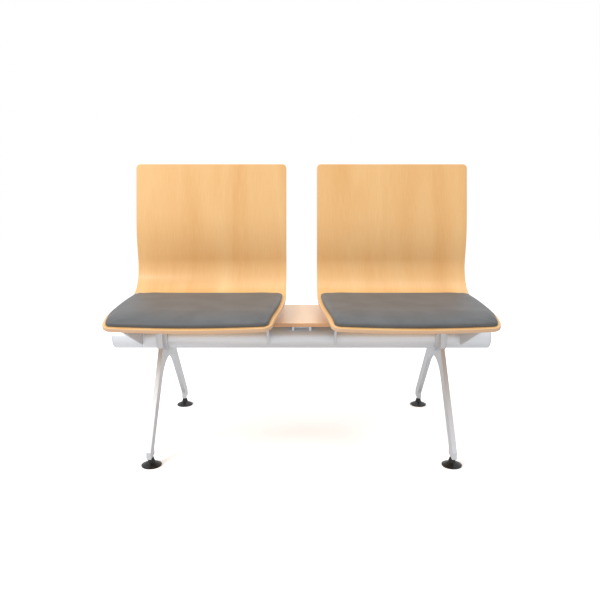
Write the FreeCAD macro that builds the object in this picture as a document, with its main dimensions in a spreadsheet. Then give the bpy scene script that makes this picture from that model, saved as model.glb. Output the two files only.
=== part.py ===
import FreeCAD, Part
import math
import os
import Sketcher

# Beam seating: two bent-plywood seat shells with pads and a small table, bolted to one elliptical
# aluminium beam that stands on two cast legs. Millimetres, Z up, X along the beam, the sitter
# facing -Y. The origin lies on the floor, under the middle of the whole piece.

os.makedirs("parts", exist_ok=True)
doc = FreeCAD.newDocument("beam_seating")
Vector = FreeCAD.Vector
Rotation = FreeCAD.Rotation
Placement = FreeCAD.Placement

# Driving dimensions. "Ahead" and "behind" are measured from the beam's axis, heights from the floor.
DIMENSIONS = [
    # beam: a hollow extrusion with two ribs and a thick bar at the top and the bottom
    ("beam_height", 320),           # floor to the beam's axis
    ("beam_length", 1149),
    ("beam_half_depth", 57),
    ("beam_half_tall", 40),
    ("beam_end_radius", 31),        # front and rear of the oval section
    ("beam_wall", 4.5),
    ("rib_spacing", 24),            # between the middles of the two upright ribs
    ("rib_wall", 4),
    ("bar_thickness", 13),          # solid bar that takes the tapped holes
    ("cap_thickness", 3),
    ("spigot_length", 12),
    ("spigot_play", 0.3),
    # cast legs
    ("leg_spacing", 850),           # between the planes of the two legs
    ("blade_thickness", 12.8),
    ("prong_reach", 80),            # beam axis to the upright front face of a prong
    ("prong_rise", 26),             # prong top above the beam's axis
    ("prong_round", 5),
    ("knee_height", 296),
    ("toe_reach", 282),
    ("heel_reach", 238),
    ("foot_height", 29),            # floor to the underside of the foot
    ("toe_height", 20),             # upright end of the foot
    ("arch_radius", 138),
    ("arch_rise", 252),             # floor to the top of the arch
    ("saddle_wall", 7),
    ("saddle_width", 34),
    ("saddle_rise", 17),            # saddle sides above the beam's axis
    ("saddle_play", 0.3),           # gap between the beam and what holds it
    ("boss_fade", 268),             # where the boss runs out into the blade
    ("screw_sink", 3),              # leg screw's head, up inside the top of the arch
    ("saddle_seat_spare", 4),       # how much wider than the saddle its seat is cut
    # glides
    ("glide_reach", 254),
    ("disc_diameter", 57),
    ("disc_rim", 3),                # floor to the widest part of the rim
    ("disc_rim_taper", 1),          # the underside's rim drawn in from the widest part
    ("disc_height", 12),            # floor to where the dome meets the hub
    ("hub_diameter", 14),           # at its top
    ("hub_height", 25),
    ("hub_flare", 4),               # hub's foot wider all round than its top
    ("stud_diameter", 8),
    ("stud_play", 0.05),            # radial running clearance of the stud
    ("stud_seat", 7),               # floor to the lower end of the stud
    ("stud_length", 43),
    ("stud_bore_spare", 6),         # bore left over above the stud
    # screws
    ("screw_diameter", 6),
    ("hexagon_width", 10),          # hexagon head across its flats
    ("hexagon_height", 4),
    ("cap_head_diameter", 10),      # round head of the leg screws
    ("cap_head_height", 6),
    ("screw_play", 0.2),            # radial clearance in a plain hole
    ("thread_play", 0.05),          # radial clearance in a tapped hole
    ("thread_depth", 11),
    ("thread_runout", 1),           # hole left over past a screw's end
    ("ply_screw_depth", 8),         # how far screws reach into plywood
    # seat arms
    ("arm_spread", 378),            # between a seat's two arms at the beam
    ("arm_toe_in", 3.1),            # degrees, front ends drawn together
    ("web_thickness", 6),
    ("arm_front_reach", 272),
    ("arm_front_depth", 15),
    ("arm_slope", 0.47),            # fall of the lower edge for each millimetre towards the beam
    ("flange_width", 30),
    ("flange_thickness", 6),
    ("flange_front_reach", 250),
    ("flange_rear_reach", 74),
    ("finger_wall", 9),
    ("finger_taper", 3),            # front finger thinner at its end
    ("rear_finger_taper", 1),
    ("finger_drop", 17),            # front finger's end under the beam's axis
    ("rear_finger_rise", 4),        # rear finger's end above the beam's axis
    ("rear_depth", 34),
    ("collar_wall", 6.5),
    ("collar_reach", 36),           # collar's half depth along the beam's top
    ("arm_screw_offset", 9.5),      # from the middle of the arm's web to its screws
    ("seat_screw_front", 215),      # screws into the shell, ahead of and behind the axis
    ("seat_screw_rear", 28),
    # seat shells
    ("seat_spacing", 589),          # between the middles of the two seats
    ("seat_height", 434),           # floor to the top of the flat pan
    ("shell_width", 489),
    ("ply_thickness", 11),
    ("bend_behind", 47),            # beam axis to the start of the bend
    ("bend_radius", 100),           # inner face
    ("bend_turn", 96),              # degrees
    ("lumbar_radius", 450),
    ("recline", 11.7),              # degrees from upright
    ("back_height", 848),
    ("fall_start", 252),            # where the pan's front starts to fall away
    ("pan_reach", 360),             # beam axis to the middle of the front edge
    ("fall_radius", 316),
    ("side_radius", 3000),          # side edges of the pan, seen from above
    ("front_bow_radius", 1290),
    ("front_corner", 32),
    ("back_corner", 13),
    # pads
    ("pad_front_margin", 6),
    ("pad_side_margin", 7.5),
    ("pad_rear_reach", 62),
    ("pad_thickness", 14),
    ("pad_corner", 27),
    ("pad_crown", 1.5),
    ("board_thickness", 3),
    ("board_inset", 12),
    # table
    ("table_width", 190),
    ("table_depth", 300),
    ("table_height", 389),          # floor to the table's top face
    ("table_corner", 20),
    ("bracket_plate", 5),
    ("bracket_width", 96),
    ("bracket_depth", 120),
    ("bracket_web", 7),
    ("bracket_web_spacing", 52),
    ("bracket_web_drop", 15),       # webs' lower edge under the beam's top
    ("bracket_web_margin", 2),      # plate's edge to the web's upper corner
    ("bracket_web_taper", 6),
    ("bracket_screw_offset", 15),
    ("driver_hole_play", 1),        # round a screw's head, through the bracket's plate
    ("table_screw_spread", 96),     # one screw ahead of the beam and one behind it
]

sheet = doc.addObject("Spreadsheet::Sheet", "sizes")
for row, (alias, number) in enumerate(DIMENSIONS, start=1):
    sheet.set(f"A{row}", alias)
    sheet.set(f"B{row}", str(number))
    sheet.setAlias(f"B{row}", alias)
doc.recompute()


# A size keeps its number and the spreadsheet formula behind it, so that a sketch can be drawn
# in place with the number and then bound to the sheet with the formula.

class Size:
    def __init__(self, number, formula):
        self.number = number
        self.formula = formula

    def __add__(self, other):
        other = plain(other)
        return Size(self.number + other.number, f"({self.formula} + {other.formula})")

    def __sub__(self, other):
        other = plain(other)
        return Size(self.number - other.number, f"({self.formula} - {other.formula})")

    def __mul__(self, other):
        other = plain(other)
        return Size(self.number * other.number, f"({self.formula} * {other.formula})")

    def __truediv__(self, other):
        other = plain(other)
        return Size(self.number / other.number, f"({self.formula} / {other.formula})")

    def __neg__(self):
        return Size(-self.number, f"(0 - {self.formula})")


def plain(value):
    return value if isinstance(value, Size) else Size(float(value), repr(float(value)))


def size(alias):
    return Size(float(sheet.get(alias)), f"sizes.{alias}")


def root(value):
    return Size(math.sqrt(value.number), f"sqrt({value.formula})")


def sine(degrees):
    return Size(math.sin(math.radians(degrees.number)), f"sin({degrees.formula})")


def cosine(degrees):
    return Size(math.cos(math.radians(degrees.number)), f"cos({degrees.formula})")


# Sizes that several pieces share.
BEAM_Z = size("beam_height")
BEAM_DEPTH = size("beam_half_depth")
BEAM_TALL = size("beam_half_tall")
BEAM_TOP = BEAM_Z + BEAM_TALL
BEAM_BOTTOM = BEAM_Z - BEAM_TALL
GAP = size("saddle_play")
PLY = size("ply_thickness")
SEAT_Z = size("seat_height")
SHELL_UNDER = SEAT_Z - PLY
TABLE_UNDER = size("table_height") - PLY
ZERO = plain(0)

# The whole piece is centred in depth: its front is the pans' front edge and its rear the discs' rim.
BEAM_Y = (size("pan_reach") - size("glide_reach") - size("disc_diameter") * 0.5) * 0.5

subparts = []
pockets = []


def bind(item, path, value):
    item.setExpression(path, value.formula)


def place(item, x=ZERO, y=ZERO, z=ZERO, turn=0.0, axis=Vector(0, 0, 1)):
    """Puts an object at a point given by sizes, turned about an axis through that point."""
    item.Placement = Placement(Vector(x.number, y.number, z.number), Rotation(axis, turn))
    bind(item, "Placement.Base.x", x)
    bind(item, "Placement.Base.y", y)
    bind(item, "Placement.Base.z", z)
    return item


def finish(item, label):
    item.Label = label
    subparts.append(item)
    return item


# Sketched outlines

def arc_centre(start, end, radius, left):
    """Centre of the arc of under half a turn from start to end that turns to the left or right."""
    middle = (start + end) * 0.5
    chord = end - start
    height = math.sqrt(max(radius ** 2 - (chord.Length * 0.5) ** 2, 0.0))
    normal = Vector(-chord.y, chord.x, 0).normalize()
    return middle + normal * (height if left else -height)


def sketch_outline(body, name, plane, corners):
    """
    Closed outline on one of the body's origin planes. Each corner is (x, y) for a straight side
    that ends there, or (x, y, radius, "left" or "right") for an arc that ends there.
    """
    sketch = body.newObject("Sketcher::SketchObject", name)
    for feature in body.Origin.OriginFeatures:
        if feature.Role == plane:
            sketch.AttachmentSupport = [(feature, "")]
    sketch.MapMode = "FlatFace"
    points = [Vector(c[0].number, c[1].number, 0) for c in corners]
    heads = []
    for i, corner in enumerate(corners):
        start = points[i - 1]
        end = points[i]
        if len(corner) == 2:
            sketch.addGeometry(Part.LineSegment(start, end))
            heads.append((1, 2))
            continue
        left = corner[3] == "left"
        centre = arc_centre(start, end, corner[2].number, left)
        first, last = (start, end) if left else (end, start)
        angle_one = math.atan2(first.y - centre.y, first.x - centre.x)
        angle_two = math.atan2(last.y - centre.y, last.x - centre.x)
        circle = Part.Circle(centre, Vector(0, 0, 1), corner[2].number)
        sketch.addGeometry(Part.ArcOfCircle(circle, angle_one, angle_two))
        heads.append((1, 2) if left else (2, 1))
    for i, corner in enumerate(corners):
        after = (i + 1) % len(corners)
        sketch.addConstraint(Sketcher.Constraint("Coincident", i, heads[i][1], after, heads[after][0]))
        for kind, value in (("DistanceX", corner[0]), ("DistanceY", corner[1])):
            index = sketch.addConstraint(Sketcher.Constraint(kind, -1, 1, i, heads[i][1], value.number))
            sketch.renameConstraint(index, f"{kind}_{i}")
            sketch.setExpression(f"Constraints.{kind}_{i}", value.formula)
        if len(corner) == 4:
            index = sketch.addConstraint(Sketcher.Constraint("Radius", i, corner[2].number))
            sketch.renameConstraint(index, f"Radius_{i}")
            sketch.setExpression(f"Constraints.Radius_{i}", corner[2].formula)
    return sketch


def new_body(name):
    return doc.addObject("PartDesign::Body", name)


def padded_outline(name, plane, corners, length, sides="Symmetric"):
    """A body whose outline is padded to a length, to both sides of its plane or to one."""
    body = new_body(name)
    sketch = sketch_outline(body, name + "_outline", plane, corners)
    pad = body.newObject("PartDesign::Pad", name + "_pad")
    pad.Profile = sketch
    pad.SideType = sides
    bind(pad, "Length", length)
    return body


def mirrored(corners):
    """The same corners with x the other way round, in reverse order so that they still join up."""
    turned = []
    count = len(corners)
    for i in range(count - 1, -1, -1):
        x, y = corners[i][0], corners[i][1]
        came_from = corners[(i + 1) % count]
        if len(came_from) == 4:
            turned.append((-x, y, came_from[2], came_from[3]))
        else:
            turned.append((-x, y))
    return turned


def soften(body, name, radius, wanted):
    """Fillet on the body's edges that the test picks, left out where the body has none."""
    doc.recompute()
    tip = body.Tip
    names = [f"Edge{i}" for i, edge in enumerate(tip.Shape.Edges, start=1) if wanted(edge)]
    fillet = body.newObject("PartDesign::Fillet", name)
    fillet.Base = (tip, names)
    bind(fillet, "Radius", radius)
    return fillet


# Plain solids

def cylinder(name, radius, height, x=ZERO, y=ZERO, z=ZERO):
    item = doc.addObject("Part::Cylinder", name)
    bind(item, "Radius", radius)
    bind(item, "Height", height)
    return place(item, x, y, z)


def box(name, length, width, height, x, y, z):
    """Box centred on x and y, standing on z."""
    item = doc.addObject("Part::Box", name)
    bind(item, "Length", length)
    bind(item, "Width", width)
    bind(item, "Height", height)
    return place(item, x - length * 0.5, y - width * 0.5, z)


def oval_bar(name, grow, length, x=ZERO):
    """
    Solid bar on the beam's axis with the beam's section grown or shrunk all round: an ellipse
    drawn as four arcs that run into each other, a small one at each end and a large one above
    and below.
    """
    end = size("beam_end_radius") + grow
    tall = BEAM_TALL + grow
    centre = BEAM_DEPTH + grow - end
    large = (centre * centre + tall * tall - end * end) / ((tall - end) * 2)
    span = large - end
    join_y = centre + end * centre / span
    join_z = end * (large - tall) / span
    body = padded_outline(name, "YZ_Plane", [
        (join_y, -join_z, large, "left"),
        (join_y, join_z, end, "left"),
        (-join_y, join_z, large, "left"),
        (-join_y, -join_z, end, "left"),
    ], length)
    return place(body, x, BEAM_Y, BEAM_Z)


def cut(name, base, tool):
    item = doc.addObject("Part::Cut", name)
    item.Base = base
    item.Tool = tool
    return item


def common(name, first, second):
    item = doc.addObject("Part::Common", name)
    item.Base = first
    item.Tool = second
    return item


def fuse(name, shapes):
    item = doc.addObject("Part::MultiFuse", name)
    item.Shapes = shapes
    item.Refine = True
    return item


def group(name, shapes):
    item = doc.addObject("Part::Compound", name)
    item.Links = shapes
    return item


def side(sign, value):
    return value if sign > 0 else -value


SIDES = (("left", -1), ("right", 1))
ENDS = (("front", -1), ("rear", 1))

LEG_X = size("leg_spacing") * 0.5
SEAT_X = size("seat_spacing") * 0.5
ARM_X = size("arm_spread") * 0.5
SCREW_R = size("screw_diameter") * 0.5
SCREW_HOLE_R = SCREW_R + size("screw_play")
TAPPED_R = SCREW_R + size("thread_play")
CAP_HEAD_R = size("cap_head_diameter") * 0.5
CAP_HEAD_H = size("cap_head_height")
HEXAGON_H = size("hexagon_height")
HEXAGON_R = size("hexagon_width") / root(plain(3))
FLATS_ALONG_BEAM = 30.0             # degrees that a hexagon head is turned by
STUD_R = size("stud_diameter") * 0.5
COLLAR_TOP = BEAM_TOP + GAP + size("collar_wall")
FLANGE_UNDER = SHELL_UNDER - size("flange_thickness")

# What a cutting tool reaches past the piece that it cuts.
SPARE = plain(2)
TRIM_SPARE = plain(40)


def hexagon_screw(name, length, x, y, seat, way):
    """Screw whose hexagon head rests at a height, with the shank going up or down from there."""
    shank_low = seat if way == "up" else seat - length
    head_low = seat - HEXAGON_H if way == "up" else seat
    shank = cylinder(f"{name}_shank", SCREW_R, length, x, y, shank_low)
    head = doc.addObject("Part::Prism", f"{name}_head")
    head.Polygon = 6
    bind(head, "Circumradius", HEXAGON_R)
    bind(head, "Height", HEXAGON_H)
    place(head, x, y, head_low, FLATS_ALONG_BEAM)
    return fuse(name, [shank, head])


def cap_screw(name, length, x, y, seat):
    """Screw with a round head that rests at a height, with the shank going up from there."""
    shank = cylinder(f"{name}_shank", SCREW_R, length, x, y, seat)
    head = cylinder(f"{name}_head", CAP_HEAD_R, CAP_HEAD_H, x, y, seat - CAP_HEAD_H)
    return fuse(name, [shank, head])


# Beam: first its outside with its seating gap, and the outer surfaces of what wraps round it.
BEAM_ENVELOPE = oval_bar("beam_envelope", GAP, size("beam_length"))
SADDLE_ROUND = oval_bar("saddle_round", GAP + size("saddle_wall"), size("beam_length"))
COLLAR_ROUND = oval_bar("collar_round", GAP + size("collar_wall"), size("beam_length"))


def seat_arm_places():
    """Every seat arm: its name, its X, its turn in degrees, and -1 or 1 for its side of the seat."""
    places = []
    for seat_side, seat_sign in SIDES:
        for arm_side, arm_sign in SIDES:
            x = side(seat_sign, SEAT_X) + side(arm_sign, ARM_X)
            turn = arm_sign * size("arm_toe_in").number
            places.append((f"{seat_side}_{arm_side}", x, turn, arm_sign))
    return places


def arm_point(x, turn, across, along):
    """A point in an arm's own plan, across it and along it, as a point of the whole piece."""
    slant = plain(turn)
    return (x + across * cosine(slant) - along * sine(slant),
            BEAM_Y + across * sine(slant) + along * cosine(slant))


def tapped_hole_places():
    """X positions and ends of the tapped holes: arms and table from the top, legs from below."""
    holes = []
    for name, x, turn, arm_sign in seat_arm_places():
        for sign in (-1, 1):
            hole_x, hole_y = arm_point(x, turn, side(sign, size("arm_screw_offset")), ZERO)
            holes.append((f"arm_{name}_{sign}", hole_x, hole_y, "top"))
    for sign in (-1, 1):
        holes.append((f"table_{sign}", side(sign, size("bracket_screw_offset")), BEAM_Y, "top"))
    for leg_side, sign in SIDES:
        holes.append((f"leg_{leg_side}", side(sign, LEG_X), BEAM_Y, "bottom"))
    return holes


def make_beam():
    length = size("beam_length")
    wall = size("beam_wall")
    rib = size("rib_wall")
    column = size("rib_spacing") + rib
    inner_width = size("rib_spacing") - rib
    inner_height = (BEAM_TALL - size("bar_thickness")) * 2
    outside = oval_bar("beam_outside", ZERO, length)
    hollow = oval_bar("beam_hollow", -wall, length + SPARE)
    middle = box("beam_middle", length + SPARE * 2, column, BEAM_TALL * 2, ZERO, BEAM_Y, BEAM_BOTTOM)
    chambers = cut("beam_chambers", hollow, middle)
    core = box("beam_core", length + SPARE, inner_width, inner_height, ZERO, BEAM_Y,
               BEAM_Z - inner_height * 0.5)
    tools = [chambers, core]
    depth = size("thread_depth") + size("thread_runout")
    for name, x, y, end in tapped_hole_places():
        z = BEAM_TOP - depth if end == "top" else BEAM_BOTTOM - SPARE
        tools.append(cylinder(f"beam_hole_{name}", TAPPED_R, depth + SPARE, x, y, z))
    return finish(cut("beam", outside, fuse("beam_tools", tools)), "beam")


def make_beam_caps():
    """A flat plate over each end, with two spigots that plug the outer chambers."""
    wall = size("beam_wall")
    play = size("spigot_play")
    rib = size("rib_wall")
    thick = size("cap_thickness")
    length = size("spigot_length")
    column = size("rib_spacing") + rib + play * 2
    for name, sign in SIDES:
        inner_end = size("beam_length") * 0.5
        plate = oval_bar(f"cap_plate_{name}", ZERO, thick, side(sign, inner_end + thick * 0.5))
        plug_x = side(sign, inner_end - length * 0.5)
        plug = oval_bar(f"cap_plug_{name}", -wall - play, length, plug_x)
        gap = box(f"cap_gap_{name}", length + SPARE, column, BEAM_TALL * 2, plug_x, BEAM_Y, BEAM_BOTTOM)
        spigots = cut(f"cap_spigots_{name}", plug, gap)
        finish(fuse(f"beam_cap_{name}", [plate, spigots]), f"beam_cap_{name}")


# Legs

def blade_outline():
    """Side view of the leg: from the arch's front end round the foot and up to the beam's seat."""
    centre = size("arch_rise") - size("arch_radius")
    radius = size("arch_radius")
    foot = size("foot_height")
    toe_top = foot + size("toe_height")
    heel = -size("heel_reach")
    toe = -size("toe_reach")
    prong = -size("prong_reach")
    prong_top = BEAM_Z + size("prong_rise")
    seat = -BEAM_DEPTH - GAP
    # the arch side runs from the heel's corner to where it touches the arch's circle
    up = toe_top - centre
    square = heel * heel + up * up
    along = radius * radius / square
    beside = radius * root(square - radius * radius) / square
    touch = heel * along + up * beside
    touch_height = centre + up * along - heel * beside
    front = [
        (touch, touch_height),
        (heel, toe_top),
        (heel, foot),
        (toe, foot),
        (toe, toe_top),
        (prong, size("knee_height")),
        (prong, prong_top),
        (seat, prong_top),
        (seat, BEAM_Z),
    ]
    outline = front + mirrored(front)
    outline[0] = (touch, touch_height, radius, "left")
    return outline


def leg_saddle(name, x):
    """Cradle that wraps the beam's front, underside and rear, with a boss fading into the blade."""
    reach = BEAM_DEPTH + GAP + size("saddle_wall")
    drop = BEAM_TALL + GAP + size("saddle_wall")
    width = size("saddle_width")
    lower = box(f"{name}_saddle_lower", width, (reach + SPARE) * 2, drop + SPARE, x, BEAM_Y,
                BEAM_Z - drop - SPARE)
    bottom = common(f"{name}_saddle_bottom", SADDLE_ROUND, lower)
    sides = box(f"{name}_saddle_sides", width, reach * 2, size("saddle_rise"), x, BEAM_Y, BEAM_Z)
    boss = doc.addObject("Part::Cone", f"{name}_boss")
    bind(boss, "Radius1", size("blade_thickness") * 0.5)
    bind(boss, "Radius2", width * 0.5)
    bind(boss, "Height", BEAM_BOTTOM - size("boss_fade"))
    place(boss, x, BEAM_Y, size("boss_fade"))
    return [bottom, sides, boss]


def leg_screw_seat():
    return size("arch_rise") + size("screw_sink") + CAP_HEAD_H


def make_leg(side_name, x):
    """A cast blade bent into an inverted V, with a cradle for the beam at its top."""
    name = f"leg_{side_name}"
    blade = padded_outline(f"{name}_blade", "YZ_Plane", blade_outline(), size("blade_thickness"))
    place(blade, x, BEAM_Y)
    prong_top = BEAM_Z + size("prong_rise")
    soften(blade, f"{name}_prong_round", size("prong_round"),
           lambda edge: is_line_at(edge, "X", z=prong_top, y=-size("prong_reach"))
           or is_line_at(edge, "X", z=prong_top, y=size("prong_reach")))
    casting = fuse(f"{name}_casting", [blade] + leg_saddle(name, x))

    width = size("saddle_width") + size("saddle_seat_spare")
    opening = (BEAM_DEPTH + GAP) * 2
    foot = size("foot_height")
    pocket_low = size("arch_rise") - SPARE
    bore_top = size("stud_seat") + GAP + size("stud_length") + size("stud_bore_spare")
    tools = [
        BEAM_ENVELOPE,
        box(f"{name}_seat_open", width, opening, BEAM_TALL + SPARE, x, BEAM_Y, BEAM_Z),
        cylinder(f"{name}_screw_hole", SCREW_HOLE_R, BEAM_BOTTOM - size("arch_rise"),
                 x, BEAM_Y, size("arch_rise")),
        cylinder(f"{name}_head_pocket", CAP_HEAD_R + size("screw_play"),
                 leg_screw_seat() - pocket_low, x, BEAM_Y, pocket_low),
    ]
    for end, sign in ENDS:
        tools.append(cylinder(f"{name}_bore_{end}", STUD_R + size("stud_play"),
                              bore_top - foot + SPARE, x,
                              BEAM_Y + side(sign, size("glide_reach")), foot - SPARE))
    finish(cut(name, casting, fuse(f"{name}_tools", tools)), name)


def make_legs():
    screws = []
    seat = leg_screw_seat()
    length = BEAM_BOTTOM + size("thread_depth") - seat
    for name, sign in SIDES:
        x = side(sign, LEG_X)
        make_leg(name, x)
        screws.append(cap_screw(f"leg_screw_{name}", length, x, BEAM_Y, seat))
    finish(group("leg_screws", screws), "leg_screws")


# Glides

def disc_section():
    """Half section of the disc, with the socket that the stud turns in."""
    bore = STUD_R + size("stud_play")
    rim = size("disc_diameter") * 0.5
    hub = size("hub_diameter") * 0.5
    return [
        (bore, size("stud_seat")),
        (ZERO, size("stud_seat")),
        (ZERO, ZERO),
        (rim - size("disc_rim_taper"), ZERO),
        (rim, size("disc_rim")),
        (hub + size("hub_flare"), size("disc_height")),
        (hub, size("hub_height")),
        (bore, size("hub_height")),
    ]


def make_glides():
    for leg_name, leg_sign in SIDES:
        for end_name, end_sign in ENDS:
            tag = f"{end_name}_{leg_name}"
            x = side(leg_sign, LEG_X)
            y = BEAM_Y + side(end_sign, size("glide_reach"))
            body = new_body(f"disc_{tag}")
            sketch = sketch_outline(body, f"disc_{tag}_section", "XZ_Plane", disc_section())
            turned = body.newObject("PartDesign::Revolution", f"disc_{tag}_turned")
            turned.Profile = sketch
            turned.ReferenceAxis = (sketch, ["V_Axis"])
            turned.Angle = 360
            finish(place(body, x, y), f"glide_disc_{tag}")
            stud = cylinder(f"stud_{tag}", STUD_R, size("stud_length"), x, y, size("stud_seat") + GAP)
            finish(stud, f"glide_stud_{tag}")


# Seat arms

def web_outline():
    """Side view of an arm's web, front first: a finger before the beam and a short one behind."""
    under = FLANGE_UNDER
    nose = -size("arm_front_reach")
    nose_low = under - size("arm_front_depth")
    notch = BEAM_DEPTH + GAP
    finger = notch + size("finger_wall")
    finger_low = BEAM_Z - size("finger_drop")
    elbow = nose_low - (size("arm_front_reach") - finger) * size("arm_slope")
    rear_low = BEAM_Z + size("rear_finger_rise")
    return [
        (nose, under),
        (nose, nose_low),
        (-finger, elbow),
        (-finger + size("finger_taper"), finger_low),
        (-notch, finger_low),
        (-notch, BEAM_Z),
        (notch, rear_low),
        (finger - size("rear_finger_taper"), rear_low),
        (size("flange_rear_reach"), under - size("rear_depth")),
        (size("flange_rear_reach"), under),
    ]


def seat_screw_places(x, turn, arm_sign):
    """Two screws up through an arm's flange: the front one outside the web, the rear one inside."""
    offset = side(arm_sign, size("arm_screw_offset"))
    return [
        arm_point(x, turn, offset, -size("seat_screw_front")),
        arm_point(x, turn, -offset, size("seat_screw_rear")),
    ]


def make_arm(tag, x, turn, arm_sign):
    """Cast arm: a thin upright web under a flange, with a collar that sits on the beam."""
    name = f"seat_arm_{tag}"
    width = size("flange_width")
    thick = size("flange_thickness")
    rear = size("flange_rear_reach")
    round_start = width * 0.5 - size("flange_front_reach")
    web = padded_outline(f"{name}_web", "YZ_Plane", web_outline(), size("web_thickness"))
    place(web, x, BEAM_Y, ZERO, turn)
    flange_plan = [
        (-width * 0.5, rear),
        (-width * 0.5, round_start),
        (ZERO, -size("flange_front_reach"), width * 0.5, "left"),
        (width * 0.5, round_start, width * 0.5, "left"),
        (width * 0.5, rear),
    ]
    flange = padded_outline(f"{name}_flange", "XY_Plane", flange_plan, thick, "One side")
    place(flange, x, BEAM_Y, FLANGE_UNDER, turn)
    reach = size("collar_reach")
    collar_plan = [
        (-width * 0.5, -reach),
        (width * 0.5, -reach),
        (width * 0.5, reach),
        (-width * 0.5, reach),
    ]
    block = padded_outline(f"{name}_collar_block", "XY_Plane", collar_plan,
                           BEAM_TALL + size("collar_wall") + SPARE, "One side")
    place(block, x, BEAM_Y, BEAM_Z, turn)
    collar = common(f"{name}_collar", COLLAR_ROUND, block)
    casting = fuse(f"{name}_casting", [web, flange, collar])

    tools = [BEAM_ENVELOPE]
    for sign in (-1, 1):
        hole_x, hole_y = arm_point(x, turn, side(sign, size("arm_screw_offset")), ZERO)
        tools.append(cylinder(f"{name}_beam_hole_{sign}", SCREW_HOLE_R,
                              size("collar_wall") + SPARE * 2, hole_x, hole_y, BEAM_TOP - SPARE))
    for i, (hole_x, hole_y) in enumerate(seat_screw_places(x, turn, arm_sign)):
        tools.append(cylinder(f"{name}_seat_hole_{i}", SCREW_HOLE_R, thick + SPARE * 2,
                              hole_x, hole_y, FLANGE_UNDER - SPARE))
    finish(cut(name, casting, fuse(f"{name}_tools", tools)), name)


def make_arms():
    """The four arms, and for each seat the four screws that hold its arms to the beam."""
    length = COLLAR_TOP - BEAM_TOP + size("thread_depth")
    for seat_side, seat_sign in SIDES:
        screws = []
        for tag, x, turn, arm_sign in seat_arm_places():
            if not tag.startswith(seat_side):
                continue
            make_arm(tag, x, turn, arm_sign)
            for sign in (-1, 1):
                screw_x, screw_y = arm_point(x, turn, side(sign, size("arm_screw_offset")), ZERO)
                screws.append(hexagon_screw(f"arm_screw_{tag}_{sign}", length, screw_x, screw_y,
                                            COLLAR_TOP, "down"))
        finish(group(f"arm_screws_{seat_side}", screws), f"arm_screws_{seat_side}")


# Seat shells

def on_circle(centre_y, centre_z, radius, degrees):
    """Point of a circle, the angle measured from straight up towards the rear."""
    return centre_y + radius * sine(degrees), centre_z + radius * cosine(degrees)


def fall_angle(reach):
    """Angle down the front fall, in degrees, at which the pan's top face reaches a depth."""
    run = (reach - size("fall_start")) / size("fall_radius")
    return Size(math.degrees(math.asin(run.number)), f"(asin({run.formula}) / 1 deg)")


def shell_profile():
    """Side view of the bent ply: falling front, flat pan, bend, lumbar curve and straight back."""
    fall = size("fall_radius")
    fall_y = -size("fall_start")
    fall_z = SEAT_Z - fall
    front = -fall_angle(size("pan_reach"))
    bend = size("bend_radius")
    bend_y = size("bend_behind")
    bend_z = SEAT_Z + bend
    bend_end = plain(180) - size("bend_turn")
    # the lumbar curve starts where the bend ends, turning the other way
    lumbar = size("lumbar_radius")
    reach = bend + lumbar
    lumbar_y, lumbar_z = on_circle(bend_y, bend_z, reach, bend_end)
    lumbar_low = -size("bend_turn")
    lumbar_high = -(plain(90) - size("recline"))
    in_low = on_circle(lumbar_y, lumbar_z, lumbar, lumbar_low)
    in_high = on_circle(lumbar_y, lumbar_z, lumbar, lumbar_high)
    out_low = on_circle(lumbar_y, lumbar_z, lumbar - PLY, lumbar_low)
    out_high = on_circle(lumbar_y, lumbar_z, lumbar - PLY, lumbar_high)
    rise = size("back_height") - in_high[1]
    lean = rise * sine(size("recline")) / cosine(size("recline"))
    top_in = (in_high[0] + lean, size("back_height"))
    top_out = (top_in[0] + PLY * cosine(size("recline")), top_in[1] - PLY * sine(size("recline")))
    return [
        on_circle(fall_y, fall_z, fall - PLY, front) + (fall - PLY, "left"),
        on_circle(fall_y, fall_z, fall, front),
        (fall_y, SEAT_Z, fall, "right"),
        (bend_y, SEAT_Z),
        in_low + (bend, "left"),
        in_high + (lumbar, "right"),
        top_in,
        top_out,
        out_high,
        out_low + (lumbar - PLY, "left"),
        (bend_y, SEAT_Z - PLY, bend + PLY, "right"),
        (fall_y, SEAT_Z - PLY),
    ]


def front_corner_points(half, radius, bow, bow_y, corner):
    """
    Where the right front corner's arc leaves the side arc and where it meets the front bow. The
    corner's circle lies inside both others and touches them, so its centre is the crossing of
    the two circles that are smaller by its radius.
    """
    side_x = half - radius
    side_y = size("bend_behind")
    near = bow - corner
    far = radius - corner
    across = side_x
    along = side_y - bow_y
    apart = root(across * across + along * along)
    foot = (near * near - far * far + apart * apart) / (apart * 2)
    rise = root(near * near - foot * foot)
    centre_x = (across * foot - along * rise) / apart
    centre_y = bow_y + (along * foot + across * rise) / apart
    leave = (side_x + (centre_x - side_x) * (radius / far), side_y + (centre_y - side_y) * (radius / far))
    meet = (centre_x * (bow / near), bow_y + (centre_y - bow_y) * (bow / near))
    return leave, meet


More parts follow.
